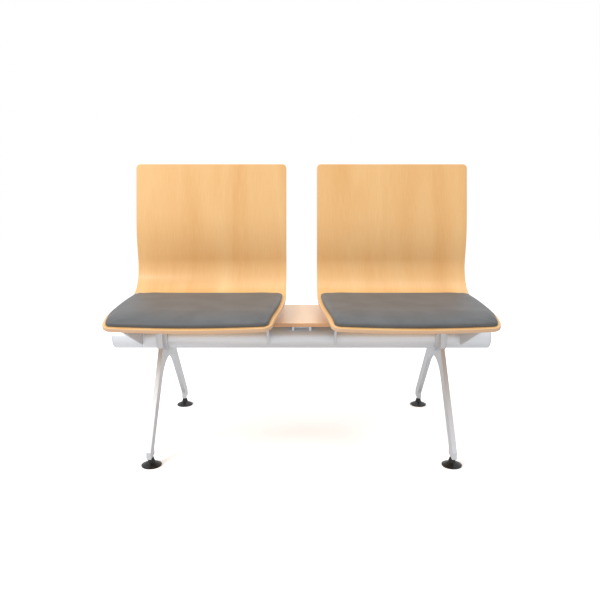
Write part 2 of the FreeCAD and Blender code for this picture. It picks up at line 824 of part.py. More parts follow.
def trim_plan(body, name, side_margin, front_margin, rear=None, rear_corner=None):
    """
    Cuts a layer of the pan to its plan, which is the shell's less a margin: straight sides behind
    the bend, then two long side arcs, two front corners and the bow of the front edge. A layer
    with a rear edge has its rear corners rounded as well.
    """
    bend = size("bend_behind")
    half = size("shell_width") * 0.5 - side_margin
    radius = size("side_radius") - side_margin
    bow = size("front_bow_radius") - front_margin
    bow_y = bow - (size("pan_reach") - front_margin)
    corner = size("front_corner") - front_margin
    leave, meet = front_corner_points(half, radius, bow, bow_y, corner)
    far = half + TRIM_SPARE
    ahead = -size("pan_reach") - TRIM_SPARE
    behind = size("back_height")
    if rear is None:
        start = [(half, behind), (half, bend)]
    else:
        turn_y = rear - rear_corner
        run = bend - turn_y
        edge = half - radius + root(radius * radius - run * run)
        start = [(edge - rear_corner, behind), (edge - rear_corner, rear),
                 (edge, turn_y, rear_corner, "right")]
    right = start + [leave + (radius, "right"), meet + (corner, "right")]
    left = mirrored(right)
    left[0] = left[0] + (bow, "right")
    left += [(-far, behind), (-far, ahead), (far, ahead), (far, behind)]
    pocket_through(body, name, right + left)


def pocket_through(body, name, corners):
    """Pocket right through the body, above and below the floor plane that its sketch lies on."""
    sketch = sketch_outline(body, f"{name}_outline", "XY_Plane", corners)
    pocket = body.newObject("PartDesign::Pocket", name)
    pocket.Profile = sketch
    pocket.SideType = "Symmetric"
    bind(pocket, "Length", size("back_height") * 4)
    pockets.append(pocket)


def is_line_at(edge, direction, x=None, y=None, z=None, tolerance=1.0):
    """True for a straight edge along X, Y or Z whose middle lies at the given sizes."""
    if edge.Curve.TypeId != "Part::GeomLine":
        return False
    run = edge.lastVertex().Point - edge.firstVertex().Point
    parts = {"X": abs(run.x), "Y": abs(run.y), "Z": abs(run.z)}
    if parts[direction] < 0.9 * run.Length:
        return False
    middle = (edge.lastVertex().Point + edge.firstVertex().Point) * 0.5
    for wanted, found in ((x, middle.x), (y, middle.y), (z, middle.z)):
        if wanted is not None and abs(wanted.number - found) > tolerance:
            return False
    return True


def is_upright(edge):
    run = edge.lastVertex().Point - edge.firstVertex().Point
    return edge.Curve.TypeId == "Part::GeomLine" and abs(run.z) > 0.9 * run.Length > 0


def make_shell(side_name, sign):
    """The bent shell, and the four screws that hold it to the flanges of its two arms."""
    name = f"seat_shell_{side_name}"
    x = side(sign, SEAT_X)
    body = padded_outline(f"{name}_ply", "YZ_Plane", shell_profile(), size("shell_width") + TRIM_SPARE)
    trim_plan(body, f"{name}_plan", ZERO, ZERO)
    top = size("back_height")
    recline = size("recline")
    soften(body, f"{name}_top_corners", size("back_corner"),
           lambda edge: is_line_at(edge, "Y", z=top - PLY * sine(recline) * 0.5, tolerance=2.0))
    place(body, x, BEAM_Y)
    pilot = size("ply_screw_depth") + size("thread_runout")
    length = size("flange_thickness") + size("ply_screw_depth")
    holes = []
    screws = []
    for tag, arm_x, turn, arm_sign in seat_arm_places():
        if not tag.startswith(side_name):
            continue
        for i, (hole_x, hole_y) in enumerate(seat_screw_places(arm_x, turn, arm_sign)):
            holes.append(cylinder(f"{name}_pilot_{tag}_{i}", TAPPED_R, pilot + SPARE,
                                  hole_x, hole_y, SHELL_UNDER - SPARE))
            screws.append(hexagon_screw(f"seat_screw_{tag}_{i}", length, hole_x, hole_y,
                                        FLANGE_UNDER, "up"))
    finish(cut(name, body, fuse(f"{name}_holes", holes)), name)
    finish(group(f"seat_screws_{side_name}", screws), f"seat_screws_{side_name}")


# Seat pads

def pan_layer(name, thickness, crown, side_margin, front_margin, rear_reach, corner):
    """A layer that lies on the pan and follows its fall, cut to the pan's plan less a margin."""
    fall = size("fall_radius")
    fall_y = -size("fall_start")
    fall_z = SEAT_Z - fall
    front = -fall_angle(size("pan_reach") - front_margin)
    top = SEAT_Z + thickness
    half = (rear_reach - fall_y) * 0.5
    crown_radius = (half * half + crown * crown) / (crown * 2)
    profile = [
        on_circle(fall_y, fall_z, fall, front) + (fall, "left"),
        on_circle(fall_y, fall_z, fall + thickness, front),
        (fall_y, top, fall + thickness, "right"),
        (rear_reach, top, crown_radius, "right"),
    ]
    bend = size("bend_radius")
    bend_y = size("bend_behind")
    run = rear_reach - bend_y
    if run.number > 0:
        rear_z = SEAT_Z + bend - root(bend * bend - run * run)
        profile += [(rear_reach, rear_z), (bend_y, SEAT_Z, bend, "right")]
    else:
        profile.append((rear_reach, SEAT_Z))
    profile.append((fall_y, SEAT_Z))
    body = padded_outline(name, "YZ_Plane", profile, size("shell_width"))
    trim_plan(body, f"{name}_plan", side_margin, front_margin, rear_reach, corner)
    return body


def make_pad(side_name, sign):
    """Upholstered pad with its stiffening board let into the underside."""
    x = side(sign, SEAT_X)
    inset = size("board_inset")
    board = pan_layer(f"pad_board_body_{side_name}", size("board_thickness"), size("pad_crown") * 0.1,
                      size("pad_side_margin") + inset, size("pad_front_margin") + inset,
                      size("pad_rear_reach") - inset * 2, size("pad_corner") - inset)
    finish(place(board, x, BEAM_Y), f"pad_board_{side_name}")
    pad = pan_layer(f"pad_body_{side_name}", size("pad_thickness"), size("pad_crown"),
                    size("pad_side_margin"), size("pad_front_margin"), size("pad_rear_reach"),
                    size("pad_corner"))
    place(pad, x, BEAM_Y)
    finish(cut(f"seat_pad_{side_name}", pad, board), f"seat_pad_{side_name}")


# Table

def make_table():
    width = size("table_width")
    depth = size("table_depth")
    corner_x = width * 0.5
    corner_y = depth * 0.5
    body = padded_outline("table_ply", "XY_Plane", [
        (-corner_x, -corner_y),
        (corner_x, -corner_y),
        (corner_x, corner_y),
        (-corner_x, corner_y),
    ], PLY, "One side")
    soften(body, "table_corners", size("table_corner"), is_upright)
    place(body, ZERO, BEAM_Y, TABLE_UNDER)
    holes = []
    pilot = size("ply_screw_depth") + size("thread_runout")
    for end, y in table_screw_places():
        holes.append(cylinder(f"table_pilot_{end}", TAPPED_R, pilot + SPARE, ZERO, y,
                              TABLE_UNDER - SPARE))
    finish(cut("table_top", body, fuse("table_pilots", holes)), "table_top")


def table_screw_places():
    return [(end, BEAM_Y + side(sign, size("table_screw_spread") * 0.5)) for end, sign in ENDS]


def make_table_bracket():
    """Cast bracket: a plate under the table, two webs and a collar on the beam."""
    plate_thick = size("bracket_plate")
    plate_low = TABLE_UNDER - plate_thick
    depth = size("bracket_depth")
    plate = box("bracket_plate", size("bracket_width"), depth, plate_thick, ZERO, BEAM_Y, plate_low)
    web_low = BEAM_TOP - size("bracket_web_drop")
    half = depth * 0.5 - size("bracket_web_margin")
    low_half = half - size("bracket_web_taper")
    pieces = [plate]
    for name, sign in SIDES:
        web = padded_outline(f"bracket_web_{name}", "YZ_Plane", [
            (-half, plate_low),
            (-low_half, web_low),
            (low_half, web_low),
            (half, plate_low),
        ], size("bracket_web"))
        pieces.append(place(web, side(sign, size("bracket_web_spacing") * 0.5), BEAM_Y))
    collar_width = size("bracket_web_spacing") + size("bracket_web")
    block = box("bracket_collar_block", collar_width, size("collar_reach") * 2,
                BEAM_TALL + size("collar_wall") + SPARE, ZERO, BEAM_Y, BEAM_Z)
    pieces.append(common("bracket_collar", COLLAR_ROUND, block))
    tools = [BEAM_ENVELOPE]
    screws = []
    for sign in (-1, 1):
        x = side(sign, size("bracket_screw_offset"))
        tools.append(cylinder(f"bracket_beam_hole_{sign}", SCREW_HOLE_R,
                              size("collar_wall") + SPARE * 2, x, BEAM_Y, BEAM_TOP - SPARE))
        tools.append(cylinder(f"bracket_driver_hole_{sign}", HEXAGON_R + size("driver_hole_play"),
                              plate_thick + SPARE * 2, x, BEAM_Y, plate_low - SPARE))
        screws.append(hexagon_screw(f"bracket_screw_{sign}",
                                    COLLAR_TOP - BEAM_TOP + size("thread_depth"),
                                    x, BEAM_Y, COLLAR_TOP, "down"))
    table_screws = []
    for end, y in table_screw_places():
        tools.append(cylinder(f"bracket_table_hole_{end}", SCREW_HOLE_R,
                              plate_thick + SPARE * 2, ZERO, y, plate_low - SPARE))
        table_screws.append(hexagon_screw(f"table_screw_{end}", plate_thick + size("ply_screw_depth"),
                                          ZERO, y, plate_low, "up"))
    finish(cut("table_bracket", fuse("bracket_casting", pieces), fuse("bracket_tools", tools)),
           "table_bracket")
    finish(group("bracket_screws", screws), "bracket_screws")
    finish(group("table_screws", table_screws), "table_screws")


def check_and_write():
    doc.recompute()
    failed = [item.Name for item in doc.Objects if "Invalid" in item.State or "Error" in item.State]
    if failed:
        raise RuntimeError("failed objects: " + ", ".join(failed))
    for pocket in pockets:
        if not pocket.Shape.Volume < pocket.BaseFeature.Shape.Volume:
            raise RuntimeError(f"{pocket.Name} cuts nothing")
    for item in subparts:
        shape = item.Shape
        if shape.isNull() or not shape.isValid():
            raise RuntimeError(f"{item.Label} has no valid shape")
    for item in subparts:
        item.Shape.exportStep(f"parts/{item.Label}.step")
        print(item.Label, len(item.Shape.Solids), round(item.Shape.Volume))


make_beam()
make_beam_caps()
make_legs()
make_glides()
make_arms()
for seat_name, seat_sign in SIDES:
    make_shell(seat_name, seat_sign)
    make_pad(seat_name, seat_sign)
make_table()
make_table_bracket()
check_and_write()
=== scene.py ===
# %% [markdown]
# Beam seating: two seats of bent plywood with upholstered pads, and a small table between them, on
# one oval aluminium beam with two cast legs. The frame of the object comes ready made from the CAD
# model. This lesson dresses it: it models the pieces whose form is soft or finely finished, gives
# every piece its material, and sets the light and the camera as a product photographer would.

# %% Load the frame and note its size
from math import asin, ceil, cos, degrees, radians, sin

import bmesh
import bpy
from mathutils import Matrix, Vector


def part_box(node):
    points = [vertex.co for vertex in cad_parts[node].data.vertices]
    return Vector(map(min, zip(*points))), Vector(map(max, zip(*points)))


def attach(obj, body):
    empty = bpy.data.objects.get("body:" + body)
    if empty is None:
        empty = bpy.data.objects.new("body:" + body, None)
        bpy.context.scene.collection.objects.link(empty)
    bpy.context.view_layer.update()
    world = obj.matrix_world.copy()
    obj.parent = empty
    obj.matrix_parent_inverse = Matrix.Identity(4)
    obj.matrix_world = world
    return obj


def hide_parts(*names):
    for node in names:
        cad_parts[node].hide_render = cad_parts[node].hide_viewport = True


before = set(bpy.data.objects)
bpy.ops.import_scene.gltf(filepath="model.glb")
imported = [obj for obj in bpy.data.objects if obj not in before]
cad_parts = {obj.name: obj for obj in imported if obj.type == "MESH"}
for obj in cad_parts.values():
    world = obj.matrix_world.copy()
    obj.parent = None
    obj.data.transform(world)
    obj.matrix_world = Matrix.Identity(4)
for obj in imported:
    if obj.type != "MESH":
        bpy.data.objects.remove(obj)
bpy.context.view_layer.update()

# %% [markdown]
# All sizes are in metres, in the frame of the CAD model: X along the beam, Y to the rear, Z up.
# The few that the new pieces need are written here once, in millimetres where that reads better.

# %% Sizes of the seats and the table
MM = 0.001
BEAM_Y = 38.75 * MM
SEAT_X = 294.5 * MM
PLY = 11 * MM
HALF_WIDTH = 244.5 * MM

# %% [markdown]
# The camera stands 1.82 m in front of the middle of the beam and a little under eye level, and it
# looks down by 11.7 degrees. A small shift frames the object a touch above the middle, as in the
# photograph, without tipping the camera any further.

# %% Camera
camera_data = bpy.data.cameras.new("camera")
camera_data.lens = 36.56
camera_data.sensor_width = 36
camera_data.shift_x = -0.0027
camera_data.shift_y = 0.0333
camera = bpy.data.objects.new("camera", camera_data)
camera.location = (0, -1.82225, 0.7539)
camera.rotation_euler = (radians(78.27), 0, 0)
bpy.context.collection.objects.link(camera)
bpy.context.scene.camera = camera

# %% [markdown]
# Materials are built from nodes. Colours are written as sRGB hex values, as one would pick them on
# a screen, and one function turns them to the linear values that Blender mixes light with.

# %% Two helpers for materials
def linear(hex_colour):
    """The linear colour, with alpha 1, of an sRGB hex value such as "f0c080"."""
    parts = [int(hex_colour[i:i + 2], 16) / 255 for i in (0, 2, 4)]
    return [p / 12.92 if p <= 0.04045 else ((p + 0.055) / 1.055) ** 2.4 for p in parts] + [1]


def add(material, kind, inputs=None, **settings):
    """Adds a node. inputs gives a value or another node's output for each of its sockets."""
    tree = material.node_tree
    node = tree.nodes.new("ShaderNode" + kind)
    for name, value in settings.items():
        setattr(node, name, value)
    for socket, value in (inputs or {}).items():
        if isinstance(value, bpy.types.NodeSocket):
            tree.links.new(value, node.inputs[socket])
        else:
            node.inputs[socket].default_value = value
    return node


def new_material(name):
    """An empty node material and its output node."""
    material = bpy.data.materials.new(name)
    material.use_nodes = True
    material.node_tree.nodes.clear()
    return material, add(material, "OutputMaterial")


def colours(ramp, stops):
    """Sets a colour ramp's stops from pairs of position and hex value."""
    elements = ramp.color_ramp.elements
    while len(elements) > 1:
        elements.remove(elements[-1])
    elements[0].position, elements[0].color = stops[0][0], linear(stops[0][1])
    for position, value in stops[1:]:
        elements.new(position).color = linear(value)


# %% [markdown]
# The face of the seats is a maple veneer under clear satin lacquer. Its grain runs up the shell and
# follows the bend, so the pattern reads the "flat" attribute: the place of each point on the sheet
# before it was pressed. Long, narrow noise makes the fibres, and a broad one the slow drift of tone
# from honey to straw that keeps a large pale surface from looking painted.

# %% Maple veneer with satin lacquer
def veneer_material(name, stops, stretch, roughness):
    """Veneer with its fibres along the Y of the flat sheet.

    stretch is the scale of the fibres across, along and through the sheet.
    """
    material, out = new_material(name)
    flat = add(material, "Attribute", attribute_name="flat").outputs["Vector"]
    drift_place = add(material, "Mapping", {"Vector": flat, "Scale": (9, 1.3, 1)})
    drift = add(material, "TexNoise", {"Vector": drift_place.outputs[0], "Scale": 1, "Detail": 2,
                                       "Distortion": 0.6})
    fibre_place = add(material, "Mapping", {"Vector": flat, "Scale": stretch})
    fibre = add(material, "TexNoise", {"Vector": fibre_place.outputs[0], "Scale": 1, "Detail": 4,
                                       "Roughness": 0.65})
    both = add(material, "Mix", {"Factor": 0.35, 2: drift.outputs["Fac"], 3: fibre.outputs["Fac"]})
    tone = add(material, "ValToRGB", {"Fac": both.outputs[0]})
    colours(tone, stops)
    bump = add(material, "Bump", {"Height": fibre.outputs["Fac"], "Strength": 0.04, "Distance": 0.0004})
    shader = add(material, "BsdfPrincipled", {
        "Base Color": tone.outputs["Color"], "Roughness": roughness, "Normal": bump.outputs[0],
        "Coat Weight": 0.35, "Coat Roughness": 0.22, "Coat IOR": 1.5})
    material.node_tree.links.new(shader.outputs[0], out.inputs["Surface"])
    return material


# A fibre bundle of maple is about 2.4 mm across and 60 mm long: 420 and 16 waves to the metre.
FIBRES = (420, 16, 1)
maple = veneer_material("maple_veneer", [(0.30, "e6ab66"), (0.50, "f0bc7a"), (0.70, "f6ca8c")],
                        FIBRES, 0.42)
table_maple = veneer_material("table_maple", [(0.30, "e4bd92"), (0.50, "edcaa4"), (0.70, "f3d8b8")],
                              FIBRES, 0.42)

# %% [markdown]
# The cut edge shows the plies: veneers of about 1.2 mm whose grain runs by turns along and across,
# so that every second one shows its paler long grain and the others their darker end grain. The
# third coordinate of "flat" is the depth below the face, and it counts the plies.

# %% Cut edge of the plywood
PLIES = 9


def ply_edge_material(name, pale, dark, thickness):
    """Plies as stripes by depth, with a little unevenness along them."""
    material, out = new_material(name)
    flat = add(material, "Attribute", attribute_name="flat").outputs["Vector"]
    depth = add(material, "SeparateXYZ", {"Vector": flat}).outputs["Z"]
    count = add(material, "Math", {0: depth, 1: PLIES / thickness / 2}, operation="MULTIPLY")
    wave = add(material, "Math", {0: count.outputs[0]}, operation="FRACT")
    end_grain = add(material, "Math", {0: wave.outputs[0], 1: 0.5}, operation="GREATER_THAN")
    speck_place = add(material, "Mapping", {"Vector": flat, "Scale": (260, 260, 900)})
    speck = add(material, "TexNoise", {"Vector": speck_place.outputs[0], "Scale": 1, "Detail": 2})
    tint = add(material, "Mix", {"Factor": speck.outputs["Fac"], 2: 0.0, 3: 0.4})
    stripe = add(material, "Math", {0: end_grain.outputs[0], 1: 0.55}, operation="MULTIPLY")
    amount = add(material, "Math", {0: stripe.outputs[0], 1: tint.outputs[0]}, operation="ADD")
    tone = add(material, "ValToRGB", {"Fac": amount.outputs[0]})
    colours(tone, [(0.1, pale), (0.85, dark)])
    shader = add(material, "BsdfPrincipled", {
        "Base Color": tone.outputs["Color"], "Roughness": 0.5, "Coat Weight": 0.2,
        "Coat Roughness": 0.3})
    material.node_tree.links.new(shader.outputs[0], out.inputs["Surface"])
    return material


shell_edge = ply_edge_material("shell_edge", "eccaa6", "cf9e78", PLY)

# %% [markdown]
# The pads are covered in grey artificial leather: vinyl on a knitted back, pressed with a fine
# pebble. Cells of about 1.2 mm make the pebble, and a wide soft noise the slight unevenness that a
# hand-pulled cover always has.

# %% Grey artificial leather
leather, leather_out = new_material("grey_vinyl")
hide = add(leather, "Attribute", attribute_name="flat").outputs["Vector"]
pebble = add(leather, "TexVoronoi", {"Vector": hide, "Scale": 850, "Smoothness": 0.5},
             feature="SMOOTH_F1")
pull = add(leather, "TexNoise", {"Vector": hide, "Scale": 14, "Detail": 2})
hide_tone = add(leather, "ValToRGB", {"Fac": pull.outputs["Fac"]})
colours(hide_tone, [(0.35, "5c5e60"), (0.65, "646668")])
pull_bump = add(leather, "Bump", {"Height": pull.outputs["Fac"], "Strength": 0.25, "Distance": 0.002})
pebble_bump = add(leather, "Bump", {"Height": pebble.outputs["Distance"], "Strength": 0.12,
                                    "Distance": 0.0003, "Normal": pull_bump.outputs[0]})
leather_shader = add(leather, "BsdfPrincipled", {
    "Base Color": hide_tone.outputs["Color"], "Roughness": 0.5, "Normal": pebble_bump.outputs[0],
    "Specular IOR Level": 0.3, "Sheen Weight": 0.05})
leather.node_tree.links.new(leather_shader.outputs[0], leather_out.inputs["Surface"])

# %% [markdown]
# The beam is extruded aluminium, etched to satin and anodised silver. The die leaves faint lines
# along the beam, so the bump is drawn out along X. The legs and arms are cast aluminium under
# silver lacquer: less metallic, with the slight orange peel that spraying leaves.

# %% Metals and plastic
def metal_material(name, colour, metallic, roughness, scale, strength, distance):
    """A metal with a bump of noise at the given scale along X, Y and Z, in waves to the metre."""
    material, out = new_material(name)
    place = add(material, "TexCoord").outputs["Object"]
    drawn = add(material, "Mapping", {"Vector": place, "Scale": scale})
    noise = add(material, "TexNoise", {"Vector": drawn.outputs[0], "Scale": 1, "Detail": 3})
    gloss = add(material, "MapRange", {"Value": noise.outputs["Fac"], "To Min": roughness - 0.04,
                                       "To Max": roughness + 0.04})
    bump = add(material, "Bump", {"Height": noise.outputs["Fac"], "Strength": strength,
                                  "Distance": distance})
    shader = add(material, "BsdfPrincipled", {
        "Base Color": linear(colour), "Metallic": metallic, "Roughness": gloss.outputs[0],
        "Normal": bump.outputs[0]})
    material.node_tree.links.new(shader.outputs[0], out.inputs["Surface"])
    return material


satin_extrusion = metal_material("satin_anodised_aluminium", "e6e9ee", 0.5, 0.42, (6, 900, 900),
                                 0.15, 0.0002)
silver_casting = metal_material("silver_lacquered_casting", "d6d9de", 0.3, 0.4, (400, 400, 400),
                                0.08, 0.0002)
zinc_steel = metal_material("zinc_plated_steel", "b9bcc0", 1.0, 0.32, (700, 700, 700), 0.1, 0.0001)
black_glide = metal_material("black_nylon", "0b0a0a", 0.0, 0.38, (900, 900, 900), 0.1, 0.0001)

# %% [markdown]
# The underside of the pad is a thin board of poplar plywood, bare and pale, seen only from below.

# %% Bare poplar board
board_wood, board_out = new_material("poplar_board")
board_place = add(board_wood, "TexCoord").outputs["Object"]
board_grain = add(board_wood, "Mapping", {"Vector": board_place, "Scale": (300, 12, 300)})
board_noise = add(board_wood, "TexNoise", {"Vector": board_grain.outputs[0], "Scale": 1, "Detail": 3})
board_tone = add(board_wood, "ValToRGB", {"Fac": board_noise.outputs["Fac"]})
colours(board_tone, [(0.3, "c9a983"), (0.7, "dcc3a2")])
board_shader = add(board_wood, "BsdfPrincipled", {"Base Color": board_tone.outputs["Color"],
                                                  "Roughness": 0.7})
board_wood.node_tree.links.new(board_shader.outputs[0], board_out.inputs["Surface"])

# %% [markdown]
# The shells are pressed from flat sheet, so they are modelled that way: the outline is cut flat,
# the rim is rounded, and the sheet is then bent along its profile. The profile is one chain of
# stretches, each with a length and a turn: the falling front edge, the flat seat, the tight bend,
# the lumbar curve that turns the other way, and the straight upper back.

# %% Profile of the bent sheet
FALL_RADIUS = 316 * MM
FALL = asin(108 / 316)  # the stretch that falls away runs 108 mm ahead of the flat pan
FLAT_PAN = 299 * MM
BEND_RADIUS = 100 * MM
BEND_TURN = radians(95.97)
LUMBAR_RADIUS = 450 * MM
LUMBAR_TURN = radians(17.67)
UPPER_BACK = 168.7 * MM
FRONT_Y = BEAM_Y - 360 * MM
FRONT_Z = 414.93 * MM
PROFILE = [
    (FALL_RADIUS * FALL, -FALL),
    (FLAT_PAN, 0.0),
    (BEND_RADIUS * BEND_TURN, BEND_TURN),
    (LUMBAR_RADIUS * LUMBAR_TURN, -LUMBAR_TURN),
    (UPPER_BACK, 0.0),
]
SHEET_LENGTH = sum(length for length, turn in PROFILE)
FLAT_START = PROFILE[0][0]
BEND_START = FLAT_START + PROFILE[1][0]
print("sheet length before bending: %.1f mm" % (SHEET_LENGTH / MM))


def bent(point):
    """Where a point of the flat sheet (across, along, depth below the face) is after bending."""
    across, along, depth = point
    y, z, heading = FRONT_Y, FRONT_Z, FALL
    for length, turn in PROFILE:
        step = min(along, length) if length is not PROFILE[-1][0] else along
        if turn:
            radius = length / turn
            now = heading + step / radius
            y += radius * (sin(now) - sin(heading))
            z -= radius * (cos(now) - cos(heading))
            heading = now
        else:
            y += step * cos(heading)
            z += step * sin(heading)
        along -= step
        if along <= 0:
            break
    return Vector((across, y + depth * sin(heading), z - depth * cos(heading)))


top = bent((0, SHEET_LENGTH, 0))
print("top of the back: y %.4f z %.4f" % (top.y, top.z))

# %% [markdown]
# A sheet starts as one rectangle. Its corners are rounded with a vertex bevel, it is given its
# thickness by extruding the face, its rim is eased with an edge bevel, and it is cut into strips
# where it will bend. A thin inset round both faces keeps the soft shading of the rim out of them.
# Before it is bent, each point's flat place is kept in the attribute "flat", which carries the grain
# round the bend. Shade comes out smooth on the strips and crisp at the rim.

# %% Cut, ease and slice a flat sheet
def flat_sheet(size, corners, thickness, easing, cuts_along, cuts_across, both_rims=True):
    """A sheet from along 0 and across the middle. corners are the radii at the front and rear.

    Without both_rims only the rim away from depth zero is eased.
    """
    width, length = size
    bm = bmesh.new()
    outline = [bm.verts.new((x, y, 0)) for x, y in (
        (-width / 2, 0), (width / 2, 0), (width / 2, length), (-width / 2, length))]
    bm.faces.new(outline)
    for ends, radius in ((outline[:2], corners[0]), (outline[2:], corners[1])):
        bmesh.ops.bevel(bm, geom=ends, offset=radius, offset_type="OFFSET", affect="VERTICES",
                        segments=8, profile=0.5, material=-1)
    face = bm.faces[:][0]
    bm.normal_update()
    grown = bmesh.ops.extrude_face_region(bm, geom=[face])
    moved = [v for v in grown["geom"] if isinstance(v, bmesh.types.BMVert)]
    bmesh.ops.translate(bm, verts=moved, vec=(0, 0, thickness))
    bmesh.ops.recalc_face_normals(bm, faces=bm.faces)
    wide = [f for f in bm.faces if abs(f.normal.z) > 0.9]
    if not both_rims:
        wide = [f for f in wide if f.calc_center_median().z / thickness > 0.5]
    rim = list({e for f in wide for e in f.edges})
    bmesh.ops.bevel(bm, geom=rim, offset=easing[0], affect="EDGES", segments=easing[1], profile=0.5,
                    material=-1)
    wide = [f for f in bm.faces if abs(f.normal.z) > 0.99 and f.calc_area() > width * length / 2]
    for f in wide:
        bmesh.ops.inset_region(bm, faces=[f], thickness=1 * MM, use_even_offset=True)
    for y in cuts_along:
        bmesh.ops.bisect_plane(bm, geom=bm.verts[:] + bm.edges[:] + bm.faces[:], plane_co=(0, y, 0),
                               plane_no=(0, 1, 0), dist=1e-7)
    for x in cuts_across:
        bmesh.ops.bisect_plane(bm, geom=bm.verts[:] + bm.edges[:] + bm.faces[:], plane_co=(x, 0, 0),
                               plane_no=(1, 0, 0), dist=1e-7)
    return bm


def steps(start, end, step):
    """Even cuts between start and end, both left out, no further apart than step."""
    count = max(1, ceil((end - start) / step))
    return [start + (end - start) * i / count for i in range(1, count)]


def shell_cuts():
    """Where the shell's sheet is sliced: closely in the bends, and far apart where it is flat."""
    cuts, start = [], 0.0
    for length, turn in PROFILE:
        spacing = length / ceil(abs(degrees(turn)) / 2.5) if turn else 25 * MM
        cuts += steps(start, start + length, spacing) + [start + length]
        start += length
    return cuts[:-1]


# %% [markdown]
# The shell narrows a little towards the front: its sides are arcs of 3 m radius from the bend
# forwards, which leaves each side 22 mm further in at the front. The front edge is bowed forward on
# a radius of 2 m. Both are gentle, so the sliced sheet is simply eased into them.

# %% Ease the plan and bend the sheet
SIDE_RADIUS = 3000 * MM
BOW_RADIUS = 2000 * MM
BOW_REACH = 260 * MM
FRONT_CORNER = 24 * MM
SHELL_EASING = (1.2 * MM, 2)
SHELL_STRIP = 25 * MM
BACK_CORNER = 13 * MM


def half_width(along):
    """Half the shell's width at a place along the sheet."""
    ahead = max(0.0, BEND_START - along)
    return HALF_WIDTH - SIDE_RADIUS + (SIDE_RADIUS ** 2 - ahead ** 2) ** 0.5


def eased(point):
    """A point of the rectangular sheet, moved to the shell's real plan."""
    across, along, depth = point
    across *= half_width(along) / HALF_WIDTH
    bow = BOW_RADIUS - (BOW_RADIUS ** 2 - across ** 2) ** 0.5
    fade = max(0.0, 1 - along / BOW_REACH)
    return Vector((across, along + bow * fade, depth))


def make_object(bm, name, materials, smooth=True):
    """Turns a finished bmesh into an object with its materials."""
    mesh = bpy.data.meshes.new(name)
    bm.to_mesh(mesh)
    bm.free()
    for material in materials:
        mesh.materials.append(material)
    for polygon in mesh.polygons:
        polygon.use_smooth = smooth
    piece = bpy.data.objects.new(name, mesh)
    bpy.context.collection.objects.link(piece)
    return piece


def press(bm, x_shift, grain_shift):
    """Keeps each point's flat place, then eases and bends the sheet and sets it at its seat."""
    flat = bm.verts.layers.float_vector.new("flat")
    for v in bm.verts:
        v[flat] = v.co + Vector((grain_shift, 0, 0))
        v.co = bent(eased(v.co)) + Vector((x_shift, 0, 0))
    bmesh.ops.recalc_face_normals(bm, faces=bm.faces)


# %% [markdown]
# Each shell is 11 mm thick. Its rim is eased by a millimetre, as sanding leaves it, and the faces
# of the rim get the material with the plies. The sheets are cut from different parts of the veneer,
# so the second seat reads the grain from another place.

# %% The two shells
for side, sign in (("left", -1), ("right", 1)):
    bm = flat_sheet((2 * HALF_WIDTH, SHEET_LENGTH), (FRONT_CORNER, BACK_CORNER), PLY,
                    SHELL_EASING, shell_cuts(), steps(-HALF_WIDTH, HALF_WIDTH, SHELL_STRIP))
    for f in bm.faces:
        f.material_index = 1 if abs(f.normal.z) < 0.8 else 0
    press(bm, sign * SEAT_X, sign * 0.7)
    shell = make_object(bm, "shell_" + side, [maple, shell_edge])
    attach(shell, "frame")
    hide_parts("seat_shell_" + side)
    print(shell.name, "faces:", len(shell.data.polygons))

# %% [markdown]
# Each pad is a board with foam under a pulled cover. It starts as a flat block a little thinner than
# the finished pad, with only its upper rim eased. It is closed to one even mesh by a voxel remesh,
# and is blown up by a cloth simulation with a little pressure: the cover swells most in the middle
# and is held in at its corners, as real upholstery is. The swelling is capped, the underside is kept
# flat, and only then is the pad bent on to the shell.

# %% The two pads
PAD_THICK = 14 * MM
PAD_CROWN = 1.5 * MM
PAD_FRONT = 6 * MM
PAD_SIDE = 7.5 * MM
PAD_CORNER = 27 * MM
PAD_START = PAD_FRONT
PAD_END = BEND_START + 15 * MM
PAD_EASING = (4.5 * MM, 4)
VOXEL = 4.5 * MM
AIR_PRESSURE = 4
LAST_FRAME = 20


def pad_block():
    """The pad's starting shape, flat, with its underside at depth 0 and its top below zero depth."""
    size = (2 * (HALF_WIDTH - PAD_SIDE), PAD_END - PAD_START)
    thick = PAD_THICK - 2 * MM
    bm = flat_sheet(size, (FRONT_CORNER - PAD_FRONT, PAD_CORNER), -thick, PAD_EASING, [], [],
                    both_rims=False)
    bmesh.ops.translate(bm, verts=bm.verts, vec=(0, PAD_START, 0))
    return bm


def puff(piece):
    """Voxel remesh, then a short cloth simulation with pressure, applied to the mesh."""
    remesh = piece.modifiers.new("close", "REMESH")
    remesh.mode = "VOXEL"
    remesh.voxel_size = VOXEL
    bake(piece)
    start = [v.co.copy() for v in piece.data.vertices]
    held = piece.vertex_groups.new(name="held")
    held.add([v.index for v in piece.data.vertices if v.co.z > -1 * MM], 1.0, "REPLACE")
    cloth = piece.modifiers.new("swell", "CLOTH")
    cloth.settings.use_pressure = True
    cloth.settings.uniform_pressure_force = AIR_PRESSURE
    cloth.settings.effector_weights.gravity = 0
    cloth.settings.vertex_group_mass = "held"
    for number in range(1, LAST_FRAME + 1):
        bpy.context.scene.frame_set(number)
    bake(piece)
    bpy.context.scene.frame_set(1)
    return start


def bake(piece):
    """Applies a piece's modifiers to its mesh."""
    graph = bpy.context.evaluated_depsgraph_get()
    mesh = bpy.data.meshes.new_from_object(piece.evaluated_get(graph))
    piece.modifiers.clear()
    piece.data = mesh


